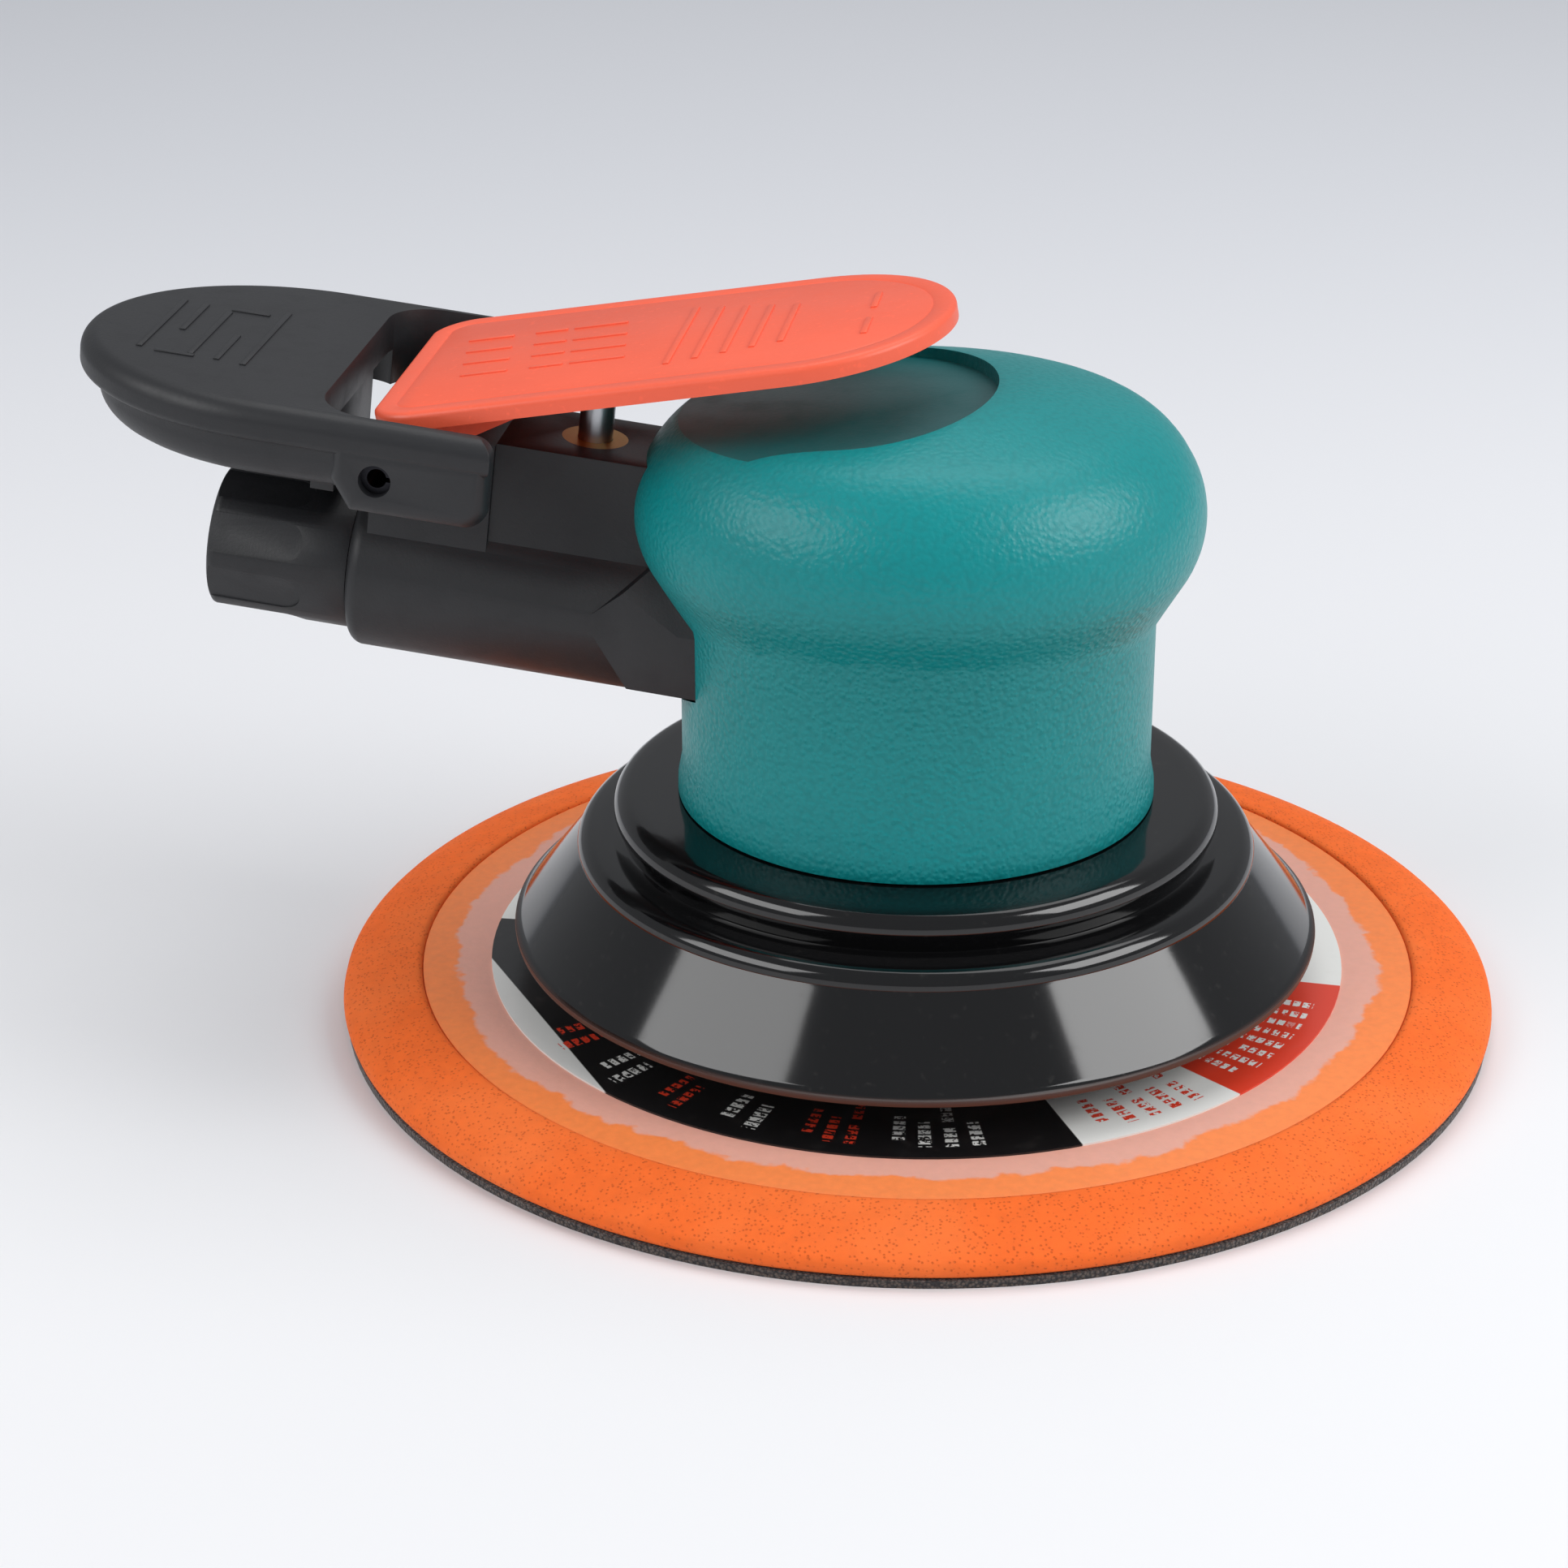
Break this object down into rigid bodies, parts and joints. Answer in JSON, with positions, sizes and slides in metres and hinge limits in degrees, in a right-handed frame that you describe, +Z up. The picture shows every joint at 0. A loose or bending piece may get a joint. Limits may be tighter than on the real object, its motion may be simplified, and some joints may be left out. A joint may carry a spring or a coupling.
{
  "type": "pneumatic random-orbital palm sander",
  "caption": "Palm-grip air sander with a soft domed grip, tilted handle neck, throttle lever, rubber shroud and a round foam pad on an eccentric spindle.",
  "frame": {"origin": "on the motor axis, at the pad's working face", "axes": "+Z up along the motor axis, -X along the handle neck, +Y completes a right-handed frame"},
  "size_m": [0.1822, 0.1518, 0.095],
  "materials": {
    "hook_fabric": "woven hooks",
    "orange_foam": "fine closed-cell foam",
    "backing_plate": "translucent glass-fibre sheet",
    "label": "printed film",
    "bare_steel": "turned and ground",
    "black_steel": "black oxide",
    "bearing_steel": "ground",
    "cage_nylon": "moulded",
    "rotor_aluminium": "turned",
    "vane_composite": "layered phenolic",
    "seal_rubber": "smooth",
    "black_composite": "fine grained moulding",
    "teal_rubber": "pebbled soft grip",
    "shroud_rubber": "glossy",
    "lever_plastic": "satin",
    "brass_mesh": "turned",
    "felt": "pressed felt"
  },
  "bodies": {
    "housing": {"motor_housing": "black_composite", "grip_cover": "teal_rubber", "shroud": "shroud_rubber", "wrist_rest": "black_composite", "lever_pin": "black_steel", "lock_ring": "rotor_aluminium", "front_end_plate": "rotor_aluminium", "motor_oring": "seal_rubber", "cylinder_liner": "bearing_steel", "dowel_pin": "bare_steel", "rear_end_plate": "rotor_aluminium", "front_bearing_outer_race": "bearing_steel", "rear_bearing_outer_race": "bearing_steel", "inlet_bushing": "bare_steel", "inlet_screen": "brass_mesh", "silencer_felt": "felt", "muffler_cap": "black_composite", "valve_seat": "seal_rubber", "valve_spring": "bare_steel", "valve_bushing": "brass_mesh", "valve_oring": "seal_rubber", "gland_bush": "brass_mesh"},
    "lever": {"throttle_lever": "lever_plastic"},
    "stem": {"valve_stem": "bare_steel"},
    "valve": {"tip_valve": "brass_mesh"},
    "shaft": {"shaft_balancer": "bare_steel", "rotor": "rotor_aluminium", "rotor_key": "bare_steel", "vanes": "vane_composite", "front_bearing_inner_race": "bearing_steel", "rear_bearing_inner_race": "bearing_steel", "shaft_circlip": "black_steel", "spindle_bearing_outer_race": "bearing_steel", "spindle_circlip": "black_steel"},
    "front_cage": {"front_bearing_cage": "cage_nylon", "front_bearing_balls": "bearing_steel"},
    "rear_cage": {"rear_bearing_cage": "cage_nylon", "rear_bearing_balls": "bearing_steel"},
    "spindle_cage": {"spindle_bearing_cage": "cage_nylon", "spindle_bearing_balls": "bearing_steel"},
    "pad": {"pad_spindle": "bare_steel", "pad_stud": "bare_steel", "pad_backing_plate": "backing_plate", "pad_foam": "orange_foam", "hook_face": "hook_fabric", "pad_label": "label", "spindle_washer": "bare_steel", "spindle_screw": "black_steel", "spindle_bearing_inner_race": "bearing_steel"}
  },
  "joints": [
    {"name": "throttle_hinge", "type": "hinge", "parent": "housing", "child": "lever", "pos_m": [-0.06337, 0, 0.07763], "axis": [0, 1, 0], "range_deg": [0, 6], "stiffness_Nm_per_rad": 0.35, "springref_deg": -20.05},
    {"name": "stem_slide", "type": "slide", "parent": "housing", "child": "stem", "axis": [-0.1219, 0, -0.9925], "range_m": [0, 0.00234]},
    {"name": "valve_tilt", "type": "hinge", "parent": "housing", "child": "valve", "pos_m": [-0.05319, 0, 0.06127], "axis": [0, 1, 0], "range_deg": [0, 13.5], "deforming": ["valve_spring"]},
    {"name": "motor_spin", "type": "hinge", "parent": "housing", "child": "shaft", "pos_m": [0, 0, 0.04], "axis": [0, 0, 1], "continuous": true},
    {"name": "front_cage_spin", "type": "hinge", "parent": "housing", "child": "front_cage", "pos_m": [0, 0, 0.039], "axis": [0, 0, 1], "continuous": true},
    {"name": "rear_cage_spin", "type": "hinge", "parent": "housing", "child": "rear_cage", "pos_m": [0, 0, 0.07], "axis": [0, 0, 1], "continuous": true},
    {"name": "pad_spin", "type": "hinge", "parent": "shaft", "child": "pad", "pos_m": [0, 0.00238, 0.019], "axis": [0, 0, 1], "continuous": true},
    {"name": "spindle_cage_spin", "type": "hinge", "parent": "shaft", "child": "spindle_cage", "pos_m": [0, 0.00238, 0.019], "axis": [0, 0, 1], "continuous": true}
  ],
  "couplings": [
    {"joint": "stem_slide", "follows": "throttle_hinge", "m_per_rad": 0.0223},
    {"joint": "valve_tilt", "follows": "throttle_hinge", "ratio": 2.23},
    {"joint": "front_cage_spin", "follows": "motor_spin", "ratio": 0.385},
    {"joint": "rear_cage_spin", "follows": "motor_spin", "ratio": 0.385},
    {"joint": "spindle_cage_spin", "follows": "pad_spin", "ratio": 0.4}
  ]
}
